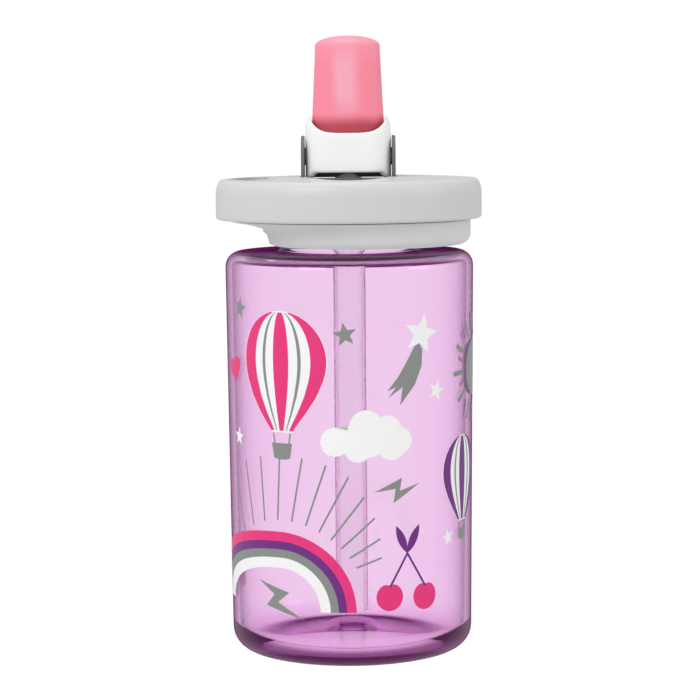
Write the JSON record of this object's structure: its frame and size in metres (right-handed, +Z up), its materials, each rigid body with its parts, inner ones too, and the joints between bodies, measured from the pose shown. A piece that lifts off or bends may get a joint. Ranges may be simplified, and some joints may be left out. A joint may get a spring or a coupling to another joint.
{
  "type": "water bottle",
  "caption": "Child's clear drinking bottle with a screw-on lid, a finger loop in the lid's rim, a fold-down spout with a soft bite valve, and a straw.",
  "frame": {"origin": "centre of the foot ring, on the surface the bottle stands on", "axes": "+Z up the bottle's axis, -Y towards the front, -X towards the finger loop"},
  "size_m": [0.0792, 0.0792, 0.1832],
  "materials": {
    "tinted_clear": "clear glossy pink-violet tinted copolyester",
    "lid_white": "satin off-white moulded polypropylene",
    "core_grey": "satin dark grey moulded plastic",
    "valve_silicone": "translucent coral pink silicone, soft sheen",
    "clear_silicone": "translucent silicone",
    "straw_clear": "translucent extruded plastic",
    "ink_white": "opaque white screen print",
    "ink_grey": "opaque grey screen print",
    "ink_pink": "opaque bright pink screen print",
    "ink_purple": "opaque purple screen print"
  },
  "bodies": {
    "bottle": {"bottle_body": "tinted_clear"},
    "gasket": {"lid_gasket": "clear_silicone"},
    "lid": {"lid_deck": "lid_white", "lid_collar": "lid_white", "vent_valve": "clear_silicone", "spout_cradle": "core_grey", "spout_seal": "clear_silicone", "straw_adapter": "lid_white", "straw": "straw_clear"},
    "spout": {"spout_cover": "lid_white", "spout_core": "core_grey"},
    "mouthpiece": {"bite_valve": "valve_silicone"}
  },
  "joints": [
    {"name": "lid_lift", "type": "slide", "parent": "bottle", "child": "gasket", "axis": [0, 0, 1], "range_m": [0, 0.0075]},
    {"name": "lid_turn", "type": "hinge", "parent": "gasket", "child": "lid", "pos_m": [0, 0, 0.128], "axis": [0, 0, 1], "range_deg": [0, 540]},
    {"name": "spout_fold", "type": "hinge", "parent": "lid", "child": "spout", "pos_m": [0, 0, 0.1475], "axis": [-1, 0, 0], "range_deg": [0, 90]},
    {"name": "bite_valve_pull", "type": "slide", "parent": "spout", "child": "mouthpiece", "axis": [0, 0, 1], "range_m": [0, 0.012]}
  ],
  "couplings": [
    {"joint": "lid_lift", "follows": "lid_turn", "m_per_rad": 0.00079577}
  ]
}
